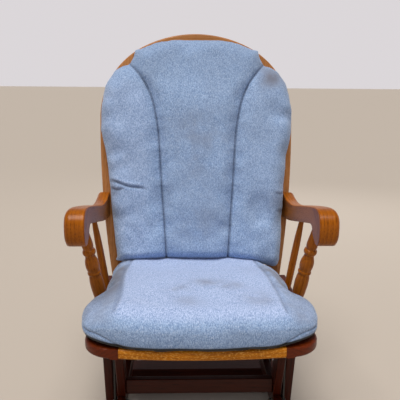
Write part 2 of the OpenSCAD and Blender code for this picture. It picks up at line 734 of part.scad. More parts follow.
module top_rail() {
    color(dark_oak) difference() {
        board(base_x, base_t) pivot_rail(top_rail_z, top_rail_h, top_rail_over);
        front_and_rear() across(base_x - over, from_front(front_pivot_d), pivot_z,
            bolt_r + fit_play, base_t + 2 * over);
    }
}
module base_post() {
    color(dark_oak) board(base_x, base_t)
        raked(glide_d - base_post_spread / 2, top_rail_z, runner_top, base_post_w, base_rake_angle);
}
// A floor runner with rounded top corners and a shallow arch between its feet
module runner() {
    r = runner_h / 2;
    start = from_front(glide_d) - runner_l / 2;
    chord = runner_l / 2 - runner_arch_inset;
    arch_r = (chord * chord + runner_arch * runner_arch) / (2 * runner_arch);
    color(dark_oak) board(base_x, base_t) difference() {
        union() {
            translate([start, runner_z]) square([runner_l, r]);
            translate([start + r, runner_z]) square([runner_l - 2 * r, runner_h]);
            for (y = [start + r, start + runner_l - r]) translate([y, runner_z + r]) circle(r, $fn = 96);
        }
        translate([from_front(glide_d), runner_z + runner_arch - arch_r]) circle(arch_r, $fn = 360);
    }
}
module base_stretcher() {
    color(dark_oak) translate([-base_x, from_front(glide_d) - runner_l / 2 + base_stretcher_inset,
        runner_top - base_stretcher_h]) cube([2 * base_x, base_stretcher_w, base_stretcher_h]);
}
module floor_pads() {
    color(rubber) both_sides() front_and_rear()
        translate([base_x + base_t / 2, from_front(glide_d) - runner_l / 2 + pad_inset, 0])
            cylinder(r = pad_r, h = pad_t);
}

// A link hanging from its upper pivot: a plate with an eye for a bearing at each end
module link(d) {
    eye_r = bearing_d / 2 + link_eye_wall;
    plate_x = bearing_x + (bearing_w - link_t) / 2;
    color(steel) difference() {
        union() {
            translate([plate_x, from_front(d) - link_w / 2, low_pivot_z]) cube([link_t, link_w, link_l]);
            for (z = [low_pivot_z, pivot_z]) across(bearing_x, from_front(d), z, eye_r, bearing_w);
        }
        for (z = [low_pivot_z, pivot_z])
            across(bearing_x - over, from_front(d), z, bearing_d / 2 + fit_play / 2,
                bearing_w + 2 * over);
    }
}
// A sealed bearing, its shields set below its two rings
module bearing() {
    out_r = bearing_d / 2;
    in_r = bearing_bore / 2;
    rotate([0, 90, 0]) rotate_extrude() polygon([
        [in_r, 0], [in_r + bearing_ring, 0], [in_r + bearing_ring, bearing_recess],
        [out_r - bearing_ring, bearing_recess], [out_r - bearing_ring, 0], [out_r, 0],
        [out_r, bearing_w], [out_r - bearing_ring, bearing_w],
        [out_r - bearing_ring, bearing_w - bearing_recess],
        [in_r + bearing_ring, bearing_w - bearing_recess], [in_r + bearing_ring, bearing_w],
        [in_r, bearing_w]
    ]);
}
module bearings(d) {
    color("silver") for (z = [low_pivot_z, pivot_z]) translate([bearing_x, from_front(d), z]) bearing();
}
// A pivot bolt along +X from its flat head, with its thread end in a domed cap nut
module pivot_bolt(l) {
    rotate([0, 90, 0]) {
        cylinder(r = bolt_head_r, h = bolt_head_t);
        cylinder(r = bolt_r, h = bolt_head_t + l);
    }
}
module spacer() {
    rotate([0, 90, 0]) difference() {
        cylinder(r = spacer_r, h = spacer_l);
        translate([0, 0, -over]) cylinder(r = bolt_r + fit_play, h = spacer_l + 2 * over);
    }
}
module cap_nut() {
    rotate([0, 90, 0]) difference() {
        union() {
            cylinder(r = nut_flange_r, h = nut_flange_t);
            cylinder(r = nut_r, h = nut_flange_t + nut_l);
            translate([0, 0, nut_flange_t + nut_l]) intersection() {
                sphere(nut_r, $fn = 48);
                cylinder(r = nut_r, h = nut_r);
            }
        }
        translate([0, 0, -over]) cylinder(r = bolt_r + fit_play, h = nut_flange_t + nut_l + over);
    }
}
// Four copies at the upper or the lower pivots
module at_pivots(x, z) {
    both_sides() front_and_rear() translate([x, from_front(front_pivot_d), z]) children();
}
module upper_pivot_bolts() {
    color(steel) at_pivots(bearing_x - bolt_head_t, pivot_z)
        pivot_bolt(bearing_w + spacer_l + base_t + nut_flange_t + nut_l / 2);
}
module upper_spacers() {
    color(steel) at_pivots(bearing_x + bearing_w, pivot_z) spacer();
}
module upper_cap_nuts() {
    color(steel) at_pivots(base_out_x, pivot_z) cap_nut();
}
module lower_pivot_bolts() {
    color(steel) at_pivots(bearing_x + bearing_w + bolt_head_t, low_pivot_z) mirror([1, 0, 0])
        pivot_bolt(bearing_w + spacer_l + hanger_t + nut_flange_t + nut_l / 2);
}
module lower_spacers() {
    color(steel) at_pivots(bearing_x - spacer_l, low_pivot_z) spacer();
}
module lower_cap_nuts() {
    color(steel) at_pivots(hanger_x, low_pivot_z) mirror([1, 0, 0]) cap_nut();
}

// A closed skin through sections that have the same number of points
module skin(sections) {
    n = len(sections[0]);
    last = (len(sections) - 1) * n;
    polyhedron([for (section = sections) each section], concat(
        [[for (k = [0 : n - 1]) k]],
        [for (i = [0 : n : last - 1], k = [0 : n - 1], a = [i + k], b = [i + (k + 1) % n])
            each [[a, a + n, b], [b, a + n, b + n]]],
        [[for (k = [n - 1 : -1 : 0]) last + k]]));
}
module seat_cushion() {
    front_l = cushion_lip + cushion_ear_d;
    rear_l = cushion_l - front_l;
    rows = concat(
        [for (p = cushion_front_share) [front_l * p[0], cushion_half_w * p[1]]],
        [for (p = cushion_rear_share) [front_l + rear_l * p[0], cushion_waist * p[1]]]);
    color(cloth) difference() {
        skin([for (row = rows) let (
            h = cushion_crown_h * lookup(row[0] / cushion_l, cushion_height_share),
            roll = min(cushion_roll, row[1] * roll_limit_share))
            [for (q = panel_section(-row[1], row[1], h, roll, roll, cushion_roll_share))
                [q[0], from_front(row[0] - cushion_lip), seat_z + soft_gap + q[1]]]]);
        in_back() translate([-half_w, -seat_d / 2, back_pad_foot_s - soft_gap])
            cube([seat_w, seat_d, seat_d]);
    }
}
// A panel of the back cushion. A row holds its share of the length, its two edges, its crown's height and the
// widths of its two rolled edges.
module pad_panel(rows) {
    skin([for (row = rows) let (
        s = back_pad_foot_s + back_pad_l * row[0],
        limit = (row[2] - row[1]) * roll_limit_share)
        [for (q = panel_section(row[1], row[2], row[3], min(row[4], limit), min(row[5], limit),
            back_pad_roll_share)) [q[0], -soft_gap - q[1], s]]]);
}
module back_cushion() {
    lap = back_pad_seam_lap / 2;
    notch = back_pad_lobe_share[len(back_pad_lobe_share) - 1][0];
    // The middle panel is edged by the seams, and above them by the outline
    middle = [for (share = back_pad_row_share) let (
        x = share > notch ? pad_edge_x(share) : pad_seam_x(share) + lap,
        roll = share > notch ? back_pad_roll : back_pad_seam_roll)
        [share, -x, x, back_pad_t * lookup(share, back_pad_height_share), roll, roll]];
    lobe = [for (share = back_pad_row_share) if (share <= notch) let (
        x1 = pad_seam_x(share) - lap,
        x2 = pad_edge_x(share),
        t = back_pad_t * lookup(share, back_pad_height_share) * lookup(share, back_pad_lobe_share))
        [share, x1, x2, t, back_pad_seam_roll, back_pad_roll]];
    color(cloth) in_back() {
        pad_panel(middle);
        both_sides() pad_panel(lobe);
    }
}

// Each node by the sitter's left and right
module left_runner() { runner(); }
module right_runner() { to_right() runner(); }
module front_base_stretcher() { base_stretcher(); }
module rear_base_stretcher() { to_rear() base_stretcher(); }
module front_left_base_post() { base_post(); }
module rear_left_base_post() { to_rear() base_post(); }
module front_right_base_post() { to_right() base_post(); }
module rear_right_base_post() { to_right() to_rear() base_post(); }
module left_top_rail() { top_rail(); }
module right_top_rail() { to_right() top_rail(); }
module front_left_link() { link(front_pivot_d); }
module front_right_link() { to_right() link(front_pivot_d); }
module rear_left_link() { link(rear_pivot_d); }
module rear_right_link() { to_right() link(rear_pivot_d); }
module front_left_bearings() { bearings(front_pivot_d); }
module front_right_bearings() { to_right() bearings(front_pivot_d); }
module rear_left_bearings() { bearings(rear_pivot_d); }
module rear_right_bearings() { to_right() bearings(rear_pivot_d); }
module left_hanger_rail() { hanger_rail(); }
module right_hanger_rail() { to_right() hanger_rail(); }
module front_left_hanger_leg() { hanger_leg(); }
module rear_left_hanger_leg() { to_rear() hanger_leg(); }
module front_right_hanger_leg() { to_right() hanger_leg(); }
module rear_right_hanger_leg() { to_right() to_rear() hanger_leg(); }
module front_hanger_stretcher() { hanger_stretcher(); }
module rear_hanger_stretcher() { to_rear() hanger_stretcher(); }
module left_side_rail() { side_rail(); }
module right_side_rail() { to_right() side_rail(); }
module left_bow_shoulder() { bow_shoulder(); }
module right_bow_shoulder() { to_right() bow_shoulder(); }
module left_stile() { stile(); }
module right_stile() { to_right() stile(); }
module left_arm() { arm(); }
module right_arm() { to_right() arm(); }
module left_arm_post() { arm_post(); }
module right_arm_post() { to_right() arm_post(); }
module left_arm_spindle() { arm_spindle(); }
module right_arm_spindle() { to_right() arm_spindle(); }

left_runner();
right_runner();
front_base_stretcher();
rear_base_stretcher();
floor_pads();
front_left_base_post();
rear_left_base_post();
front_right_base_post();
rear_right_base_post();
left_top_rail();
right_top_rail();
upper_pivot_bolts();
upper_spacers();
upper_cap_nuts();
front_left_link();
front_right_link();
rear_left_link();
rear_right_link();
front_left_bearings();
front_right_bearings();
rear_left_bearings();
rear_right_bearings();
left_hanger_rail();
right_hanger_rail();
front_left_hanger_leg();
rear_left_hanger_leg();
front_right_hanger_leg();
rear_right_hanger_leg();
front_hanger_stretcher();
rear_hanger_stretcher();
lower_pivot_bolts();
lower_spacers();
lower_cap_nuts();
left_side_rail();
right_side_rail();
front_rail();
back_rail();
seat_slats();
bow_crown();
left_bow_shoulder();
right_bow_shoulder();
left_stile();
right_stile();
back_spindles();
back_bolts();
left_arm();
right_arm();
left_arm_post();
right_arm_post();
left_arm_spindle();
right_arm_spindle();
arm_screws();
seat_cushion();
back_cushion();
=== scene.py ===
import json
import math

import bmesh
import bpy
from mathutils import Matrix, Vector, kdtree, noise


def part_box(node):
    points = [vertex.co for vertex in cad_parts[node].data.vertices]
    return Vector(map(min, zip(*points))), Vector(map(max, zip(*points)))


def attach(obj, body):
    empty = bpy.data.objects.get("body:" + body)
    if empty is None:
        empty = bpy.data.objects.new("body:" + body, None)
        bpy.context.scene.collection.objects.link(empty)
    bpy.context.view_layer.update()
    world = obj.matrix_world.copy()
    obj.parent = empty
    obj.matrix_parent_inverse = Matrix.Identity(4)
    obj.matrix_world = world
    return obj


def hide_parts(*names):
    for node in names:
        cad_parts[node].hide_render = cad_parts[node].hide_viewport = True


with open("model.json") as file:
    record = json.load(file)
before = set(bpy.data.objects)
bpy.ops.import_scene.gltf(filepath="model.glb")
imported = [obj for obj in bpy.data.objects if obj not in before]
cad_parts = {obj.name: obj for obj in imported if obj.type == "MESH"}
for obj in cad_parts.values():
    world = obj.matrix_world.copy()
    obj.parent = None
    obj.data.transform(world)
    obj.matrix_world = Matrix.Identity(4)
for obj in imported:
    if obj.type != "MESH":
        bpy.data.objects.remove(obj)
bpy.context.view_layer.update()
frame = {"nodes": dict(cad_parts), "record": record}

MM = 0.001
NODES = frame["nodes"]
BODY_OF = {node: body for body, nodes in frame["record"]["behaviour"]["bodies"].items() for node in nodes}
SLOT_OF = {part["node"]: part["material_slot"] for part in frame["record"]["subparts"]}

# The seat frame: its top, the front rail's foremost point and the glue joint with the side rails
RAIL_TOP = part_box("front_rail")[1].z
FRONT_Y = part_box("front_rail")[0].y
JOINT_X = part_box("front_rail")[1].x

# The back: its lean, and the depth of the bow's front face at the seat frame's top
LEAN = math.radians(13.7)
BOW_DEPTH = 488 * MM
# X runs across the back, Y from the bow's front face to the rear, and Z up the slope
BACK = Matrix.Translation((0, FRONT_Y + BOW_DEPTH, RAIL_TOP)) @ Matrix.Rotation(-LEAN, 4, "X")
UP_BACK = BACK.to_3x3() @ Vector((0, 0, 1))

ACROSS, FORTH = Vector((1, 0, 0)), Vector((0, 1, 0))

# A noise texture of scale SPOT / w has spots about w wide, and a wave texture of scale RING / w rings w apart
SPOT, RING = 0.8, 0.314
# Vertices this close are one
MERGE = 0.01 * MM


def linear(colour):
    """An sRGB hex colour as linear red, green, blue and opacity."""
    channels = [int(colour[i:i + 2], 16) / 255 for i in (1, 3, 5)]
    return tuple(c / 12.92 if c <= 0.04045 else ((c + 0.055) / 1.055) ** 2.4 for c in channels) + (1.0,)


def add(material, kind, inputs=(), **settings):
    """Adds a shader node with its settings. An input is given a number, a colour or another node's socket."""
    made = material.node_tree.nodes.new("ShaderNode" + kind)
    for name, value in settings.items():
        setattr(made, name, value)
    for key, value in dict(inputs).items():
        if isinstance(value, bpy.types.NodeSocket):
            material.node_tree.links.new(value, made.inputs[key])
        else:
            made.inputs[key].default_value = value
    return made


def blank(name):
    """A material with no nodes yet."""
    material = bpy.data.materials.new(name)
    material.use_nodes = True
    material.node_tree.nodes.clear()
    return material


def finish_with(material, inputs, bump=None):
    """Ends a material in its surface shader, with an optional bump socket."""
    if bump is not None:
        inputs = {**inputs, "Normal": bump}
    shader = add(material, "BsdfPrincipled", inputs)
    add(material, "OutputMaterial", {"Surface": shader.outputs[0]})
    return material


def mix(material, factor, low, high):
    """The socket of a colour mixed from low to high."""
    return add(material, "Mix", {0: factor, 6: low, 7: high}, data_type="RGBA").outputs[2]


def spread(material, value, low, high, new_low=0.0, new_high=1.0):
    """The socket of a value's range mapped to a new one."""
    return add(material, "MapRange", {0: value, 1: low, 2: high, 3: new_low, 4: new_high}).outputs[0]


# Each stain's light wood, dark wood and pores
STAINS = {
    # A lighter copy of the oak: painted light on the bow
    "honey_lit": ("#bd8352", "#9c6536", "#6b4018"),
    "golden": ("#c0760a", "#975404", "#5e2f02"),
    "medium": ("#ab6108", "#844203", "#482001"),
    # Darker copies of the oak: painted shade on the side rails and on the base under the seat
    "russet_shaded": ("#662608", "#491904", "#280c02"),
    "deep_shaded": ("#451505", "#300c03", "#190602"),
}
# The oaks made so far, by stain and by the grain's direction
OAKS = {}
# Where the middle of the rings lies beside a board
RINGS_AT = (0.3, 0.045, 0.06)


def grained(material, board, draw, scale, detail):
    """The socket of noise on a board. draw is its scale along the grain, so that it runs out along it."""
    drawn = add(material, "Mapping", {"Vector": board, "Scale": (draw, 1, 1)}).outputs[0]
    return add(material, "TexNoise", {"Vector": drawn, "Scale": scale, "Detail": detail}).outputs[0]


def oak(stain, along):
    """Varnished oak. The rings give broad bands, the early wood's open pores give dark dashes along the
    grain, and two coats of clear varnish give a soft gloss over them. along is the grain's direction, or None
    where the piece carries its own grain coordinates."""
    key = (stain, None if along is None else tuple(round(v, 2) for v in along))
    if key in OAKS:
        return OAKS[key]
    light, dark, pore = (linear(colour) for colour in STAINS[stain])
    material = blank(f"oak_{stain}_{len(OAKS)}")
    if along is None:
        place, turn = add(material, "Attribute", attribute_name="grain").outputs["Vector"], (0, 0, 0)
    else:
        place = add(material, "TexCoord").outputs["Object"]
        turn = along.normalized().rotation_difference(ACROSS).to_euler()
    board = add(material, "Mapping", {"Vector": place, "Rotation": turn, "Location": RINGS_AT}).outputs[0]
    # Rings 9 mm apart, drawn out along the grain
    ring_gap, ring_draw = 9 * MM, 0.11
    drawn = add(material, "Mapping", {"Vector": board, "Scale": (ring_draw, 1, 1)}).outputs[0]
    rings = add(material, "TexWave", {"Vector": drawn, "Scale": RING / ring_gap, "Distortion": 5.0,
                                      "Detail": 2.5, "Detail Scale": 1.2, "Detail Roughness": 0.55},
                wave_type="RINGS", rings_direction="X", wave_profile="SAW").outputs[1]
    # Pores are 0.3 mm wide on real oak, and are drawn 1.5 mm wide and 17 mm long so that they show
    pore_w, pore_draw = 1.5 * MM, 0.09
    dashes = grained(material, board, pore_draw, SPOT / pore_w, 1.5)
    open_ring = spread(material, rings, 0.25, 0.9, 0.35, 1.0)
    pores = add(material, "Math", {0: spread(material, dashes, 0.53, 0.66), 1: open_ring},
                operation="MULTIPLY").outputs[0]
    # Fibres and slow changes of tone
    fibre = grained(material, board, 0.03, 260.0, 3.0)
    cloud = grained(material, board, 0.35, 14.0, 2.0)
    tone = mix(material, spread(material, rings, 0.1, 1.0, 0.05, 0.6), light, dark)
    tone = mix(material, spread(material, fibre, 0.35, 0.7, 0.0, 0.45), tone, dark)
    tone = mix(material, spread(material, cloud, 0.35, 0.7, 0.0, 0.35), tone, pore)
    tone = mix(material, spread(material, pores, 0.0, 1.0, 0.0, 0.6), tone, pore)
    if stain == "golden":
        # Pale flecks along the grain: painted glints of light off the open pores
        glint_w, glint_draw = 2 * MM, 0.5
        flecks = grained(material, board, glint_draw, SPOT / glint_w, 1.0)
        tone = mix(material, spread(material, flecks, 0.52, 0.66, 0.0, 0.5), tone, linear("#dca550"))
    bump = add(material, "Bump", {"Height": pores, "Strength": 0.25, "Distance": 0.25 * MM}, invert=True)
    OAKS[key] = finish_with(material, {
        "Base Color": tone, "Roughness": spread(material, pores, 0.0, 1.0, 0.36, 0.5),
        "Specular IOR Level": 0.12, "Coat Weight": 0.15, "Coat Roughness": 0.2,
    }, bump.outputs[0])
    return OAKS[key]


# How seamed, worn or lit, stained or shaded each point of a cushion is, and where its lowest band is painted
# black as a shadow
CLOTH_MARKS = ("seam", "worn_and_lit", "stain", "shadow_gap")


def heathered_cloth():
    """Upholstery cloth woven from marled blue and pale threads. The marl gives short streaks along the warp,
    the weave fine pale and dark flecks, and the nap a soft pale edge."""
    material = blank("heathered_upholstery_cloth")
    place = add(material, "TexCoord").outputs["Object"]
    # Threads are 0.7 mm apart on the real cloth, and the slubs are drawn 1.6 mm wide so that they show
    slub_w, slub_draw = 1.6 * MM, 0.4
    slubs = add(material, "Mapping", {"Vector": place, "Scale": (1, slub_draw, slub_draw)}).outputs[0]
    slubs = add(material, "TexNoise", {"Vector": slubs, "Scale": SPOT / slub_w, "Detail": 2.5,
                                       "Roughness": 0.7}).outputs[0]
    flecks = add(material, "TexNoise", {"Vector": place, "Scale": 420.0, "Detail": 1.0}).outputs[0]
    wear = add(material, "TexNoise", {"Vector": place, "Scale": 9.0, "Detail": 3.0,
                                      "Roughness": 0.6}).outputs[0]
    tone = mix(material, spread(material, slubs, 0.38, 0.62), linear("#6784ae"), linear("#98b1d5"))
    tone = mix(material, spread(material, flecks, 0.56, 0.7, 0.0, 0.6), tone, linear("#b9c8e1"))
    tone = mix(material, spread(material, flecks, 0.30, 0.42, 0.5, 0.0), tone, linear("#465c84"))
    tone = mix(material, spread(material, wear, 0.42, 0.72, 0.0, 0.18), tone, linear("#737f92"))
    seam, worn_and_lit, stain, shadow_gap = (add(material, "Attribute", attribute_name=kind).outputs["Fac"]
                                 for kind in CLOTH_MARKS)
    rubbed_and_lit = mix(material, spread(material, slubs, 0.36, 0.64), linear("#778db8"), linear("#b8c6e7"))
    # Paler cloth: partly rubbed wear, partly painted light on upward faces and on one side of the back
    tone = mix(material, worn_and_lit, tone, rubbed_and_lit)
    # Real stains, and on the seat's sides painted shade, darken the cloth in blotches
    stain_and_shade_blotch = add(material, "Math", {0: stain, 1: spread(material, wear, 0.35, 0.6)}, operation="MULTIPLY",
                 use_clamp=True)
    tone = mix(material, stain_and_shade_blotch.outputs[0], tone, linear("#6c7182"))
    # Dark seam lines, and painted shade in the creases and folds, at the back's top and low on the seat's
    # walls
    tone = mix(material, seam, tone, linear("#22304b"))
    # The seat cushion's lowest band is painted near-black: a painted shadow in the gap above the rail
    tone = mix(material, shadow_gap, tone, linear("#040405"))
    height = add(material, "Math", {0: slubs, 1: flecks}, operation="ADD").outputs[0]
    bump = add(material, "Bump", {"Height": height, "Strength": 0.35, "Distance": 0.8 * MM})
    return finish_with(material, {"Base Color": tone, "Roughness": 0.92, "Sheen Weight": 0.15,
                                  "Sheen Roughness": 0.5}, bump.outputs[0])


def metal(name, colour, roughness, metallic=1.0):
    """A metal finish with a fine uneven roughness from its plating or enamel."""
    grit, smudge_shade = 0.6 * MM, 0.6
    material = blank(name)
    place = add(material, "TexCoord").outputs["Object"]
    grain = add(material, "TexNoise", {"Vector": place, "Scale": SPOT / grit, "Detail": 2.0}).outputs[0]
    smudge = add(material, "TexNoise", {"Vector": place, "Scale": 60.0, "Detail": 2.0}).outputs[0]
    darker = tuple(c * smudge_shade for c in linear(colour)[:3]) + (1.0,)
    tone = mix(material, spread(material, smudge, 0.35, 0.7, 0.0, 0.6), linear(colour), darker)
    bump = add(material, "Bump", {"Height": grain, "Strength": 0.2, "Distance": 0.05 * MM})
    uneven = spread(material, grain, 0.3, 0.7, roughness - 0.08, roughness + 0.1)
    return finish_with(material, {"Base Color": tone, "Metallic": metallic, "Roughness": uneven},
                       bump.outputs[0])


def moulded_rubber():
    """Black rubber from a mould, matte with a faint bloom."""
    material = blank("moulded_rubber")
    place = add(material, "TexCoord").outputs["Object"]
    bloom = add(material, "TexNoise", {"Vector": place, "Scale": 90.0, "Detail": 3.0}).outputs[0]
    tone = mix(material, spread(material, bloom, 0.35, 0.7), linear("#1b1917"), linear("#35322e"))
    return finish_with(material, {"Base Color": tone, "Roughness": 0.8})


CLOTH = heathered_cloth()
ZINC = metal("zinc_plated_steel", "#9a9b97", 0.38)
GROUND_STEEL = metal("ground_bearing_steel", "#b9bcc0", 0.24)
ENAMEL = metal("black_enamelled_steel", "#1d1b1a", 0.34, metallic=0.0)
RUBBER = moulded_rubber()


def linked(name, data):
    """An object in the scene that shows a mesh, a light or a camera."""
    made = bpy.data.objects.new(name, data)
    bpy.context.scene.collection.objects.link(made)
    return made


def meshed(name, bm):
    """An object in the scene with a bmesh as its mesh."""
    mesh = bpy.data.meshes.new(name)
    bm.to_mesh(mesh)
    bm.free()
    return linked(name, mesh)


def piece(name, bm, material, body, replaced=(), flat_weight=True):
    """A finished piece from a bmesh, riding on a body and standing for CAD nodes."""
    made = meshed(name, bm)
    made.data.materials.append(material)
    if flat_weight:
        made.modifiers.new("WeightedNormal", "WEIGHTED_NORMAL").keep_sharp = True
    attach(made, body)
    if replaced:
        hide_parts(*replaced)
    return made


def shade(bm, sharp=math.radians(42)):
    """Smooth shading, with the edges that turn more than an angle kept sharp."""
    for face in bm.faces:
        face.smooth = True
    for edge in bm.edges:
        edge.smooth = len(edge.link_faces) == 2 and edge.calc_face_angle(0) < sharp


# Faces that turn less than FLAT are one, and a router eases corners that turn more than CORNER
FLAT, CORNER, SHORTEST_CORNER = math.radians(0.4), math.radians(50), 3 * MM


def eased(node, edge, material, keep=None):
    """A wooden piece with its CAD node's shape and its corners eased by a router. keep says which edges stay
    sharp."""
    bm = bmesh.new()
    bm.from_mesh(NODES[node].data)
    bmesh.ops.remove_doubles(bm, verts=bm.verts, dist=MERGE)
    bmesh.ops.dissolve_limit(bm, angle_limit=FLAT, verts=bm.verts, edges=bm.edges)
    corners = [e for e in bm.edges if len(e.link_faces) == 2 and e.calc_face_angle(0) > CORNER
               and e.calc_length() > SHORTEST_CORNER and not (keep and keep(e))]
    if edge and corners:
        bmesh.ops.bevel(bm, geom=corners, offset=edge, segments=3, profile=0.5, affect="EDGES", material=-1,
                        clamp_overlap=False)
    shade(bm)
    piece(node + "_wood", bm, material, BODY_OF[node], [node])


def curve(points, steps=6):
    """A smooth line through points."""
    line = []
    ends = [points[0], *points, points[-1]]
    for span in zip(ends, ends[1:], ends[2:], ends[3:]):
        for k in range(steps):
            t = k / steps
            line.append(tuple(
                (2 * q + (r - p) * t + (2 * p - 5 * q + 4 * r - s) * t ** 2
                 + (3 * q - p - 3 * r + s) * t ** 3) / 2
                for p, q, r, s in zip(*span)))
    return line + [tuple(points[-1])]


def outlined(left, right):
    """A closed outline from two halves that share their ends. The right half is given mirrored."""
    return [*left, *((-x, y) for x, y in right[-2:0:-1])]


class Lines:
    """Distances from a set of lines in the plane, in millimetres."""

    def __init__(self, lines, gap=2.0):
        points = []
        for line in lines:
            for a, b in zip(line, line[1:]):
                a, b = Vector((*a, 0)), Vector((*b, 0))
                count = max(1, int((b - a).length / gap))
                points += [a.lerp(b, k / count) for k in range(count + 1)]
        self.tree = kdtree.KDTree(len(points))
        for i, point in enumerate(points):
            self.tree.insert(point, i)
        self.tree.balance()

    def away(self, x, y):
        """How far a place is from the lines."""
        return self.tree.find((x, y, 0))[2]

    def nearest(self, x, y):
        """The lines' point that is nearest to a place."""
        return self.tree.find((x, y, 0))[0]


def rolled(distance, radius):
    """Height of a rounded edge of radius 1, at a distance in from it."""
    near = min(max(distance / radius, 0.0), 1.0)
    return math.sqrt(1 - (1 - near) ** 2)


def ramp(value, low, high):
    """A smooth step from 0 at low to 1 at high."""
    t = min(max((value - low) / (high - low), 0.0), 1.0)
    return t * t * (3 - 2 * t)


def bell(distance, width):
    """1 at no distance, falling away smoothly on both sides."""
    return math.exp(-(distance / width) ** 2)


# The height of the prism that a cushion is shaped from, and the size of its quads, in millimetres
PRISM_H, QUAD = 80.0, 6.0


def remeshed(name, outline):
    """An even quad mesh of an upright prism, in millimetres, with the outline as its plan."""
    bm = bmesh.new()
    base = bm.faces.new([bm.verts.new((x, y, 0)) for x, y in outline])
    grown = bmesh.ops.extrude_face_region(bm, geom=[base])
    top = [v for v in grown["geom"] if isinstance(v, bmesh.types.BMVert)]
    bmesh.ops.translate(bm, vec=(0, 0, PRISM_H), verts=top)
    bmesh.ops.recalc_face_normals(bm, faces=bm.faces)
    made = meshed(name, bm)
    remesh = made.modifiers.new("Remesh", "REMESH")
    remesh.mode = "VOXEL"
    remesh.voxel_size = QUAD
    return applied(made)


def applied(obj):
    """Bakes an object's modifiers into its mesh."""
    graph = bpy.context.evaluated_depsgraph_get()
    baked = bpy.data.meshes.new_from_object(obj.evaluated_get(graph))
    obj.modifiers.clear()
    old = obj.data
    obj.data = baked
    bpy.data.meshes.remove(old)
    return obj


# Frames that the cloth is blown up over, and rounds of smoothing that tell its wrinkles from its form
CLOTH_FRAMES, SMOOTHINGS = 20, 10
# In millimetres: cloth is held this close to a seam or crease, and a move under LEAST_MOVE is none
HELD_BESIDE, LEAST_MOVE = 3.5, 1e-6


def inflate(obj, held, cap, pressure, rumple, sideways):
    """Blows a closed mesh up as cloth. held says which points are held, cap how far a point may move, rumple
    the share of the fine wrinkles that stays, and sideways the share of the movement in the cushion's own
    plane."""
    start = [v.co.copy() for v in obj.data.vertices]
    group = obj.vertex_groups.new(name="held")
    for i, co in enumerate(start):
        group.add([i], float(held(co)), "REPLACE")
    cloth = obj.modifiers.new("Cloth", "CLOTH")
    settings = cloth.settings
    settings.quality = 5
    settings.mass = 0.3
    settings.tension_stiffness = settings.compression_stiffness = 15
    settings.shear_stiffness = 5
    settings.bending_stiffness = 0.5
    settings.use_pressure = True
    settings.uniform_pressure_force = pressure
    settings.vertex_group_mass = "held"
    settings.effector_weights.gravity = 0
    cloth.collision_settings.use_collision = False
    for step in range(1, CLOTH_FRAMES + 1):
        bpy.context.scene.frame_set(step)
    applied(obj)
    bpy.context.scene.frame_set(1)
    moves = [vert.co - old for vert, old in zip(obj.data.vertices, start)]
    moves = [move * min(1.0, cap / max(move.length, LEAST_MOVE)) for move in moves]
    beside = [[] for _ in start]
    for edge in obj.data.edges:
        a, b = edge.vertices
        beside[a].append(b)
        beside[b].append(a)
    smooth = moves
    for _ in range(SMOOTHINGS):
        smooth = [sum((smooth[j] for j in near), move) / (len(near) + 1) if near else move
                  for move, near in zip(smooth, beside)]
    for vert, old, move, smooth_move in zip(obj.data.vertices, start, moves, smooth):
        kept = smooth_move.lerp(move, rumple)
        vert.co = old + Vector((kept.x * sideways, kept.y * sideways, kept.z))
    return obj


def padded(name, obj, place, detail, node):
    """Finishes a cushion: one subdivision, its seams and wrinkles, and its place. detail gives for each point
    how far it moves along its normal, and its marks."""
    smooth = obj.modifiers.new("Subdivision", "SUBSURF")
    smooth.levels = smooth.render_levels = 1
    applied(obj)
    bm = bmesh.new()
    bm.from_mesh(obj.data)
    layers = [bm.verts.layers.float.new(kind) for kind in CLOTH_MARKS]
    bm.normal_update()
    places = []
    for vert in bm.verts:
        push, *marks = detail(vert.co, vert.normal)
        places.append(vert.co + vert.normal * push)
        for layer, mark in zip(layers, marks):
            vert[layer] = mark
    for vert, co in zip(bm.verts, places):
        vert.co = place @ co
    bmesh.ops.recalc_face_normals(bm, faces=bm.faces)
    bpy.data.objects.remove(obj)
    shade(bm, math.radians(180))
    made = piece(name, bm, CLOTH, BODY_OF[node], [node], flat_weight=False)


# Camera, from the parallel rails, level arms and mirror-image sides of the chair in the photograph
CAMERA_PLACE = Vector((-53.1 * MM, FRONT_Y - 1164.2 * MM, 929.3 * MM))
CAMERA_PITCH, CAMERA_YAW, CAMERA_ROLL = math.radians(12.53), math.radians(2.14), math.radians(0.51)
camera_data = bpy.data.cameras.new("camera")
camera_data.lens = 52.78
camera_data.sensor_width = 36
camera = linked("camera", camera_data)
camera.matrix_world = (Matrix.Translation(CAMERA_PLACE) @ Matrix.Rotation(-CAMERA_YAW, 4, "Z")
                       @ Matrix.Rotation(math.radians(90) - CAMERA_PITCH, 4, "X")
                       @ Matrix.Rotation(CAMERA_ROLL, 4, "Z"))
bpy.context.scene.camera = camera

# The way the key light shines, and the point that the softboxes are aimed at
SUN_WAY = Vector((0.2, 0.6, -2.1))
SOFTBOX_AIM = Vector((0, 0, 0.5))
# The studio's strength goes from the first to the second between these heights of the view's direction
GLOW_HEIGHTS, GLOW_STRENGTHS = (0.12, 0.28), (0.8, 0.22)


def softbox(name, place, size, watts):
    """A square soft light aimed at the chair, which doesn't show in its gloss."""
    data = bpy.data.lights.new(name, "AREA")
    data.shape = "SQUARE"
    data.size = size
    data.energy = watts
    light = linked(name, data)
    light.location = place
    light.rotation_euler = (SOFTBOX_AIM - Vector(place)).to_track_quat("-Z", "Y").to_euler()
    light.visible_glossy = False


sun_data = bpy.data.lights.new("key", "SUN")
sun_data.energy = 3.7
sun_data.angle = math.radians(40)
sun_data.color = linear("#fffaf2")[:3]
sun = linked("key", sun_data)
sun.rotation_euler = SUN_WAY.to_track_quat("-Z", "Y").to_euler()
softbox("front", place=(0.5, -2.6, 1.7), size=0.7, watts=6)
softbox("rear", place=(0.9, 2.6, 1.8), size=1.6, watts=16)

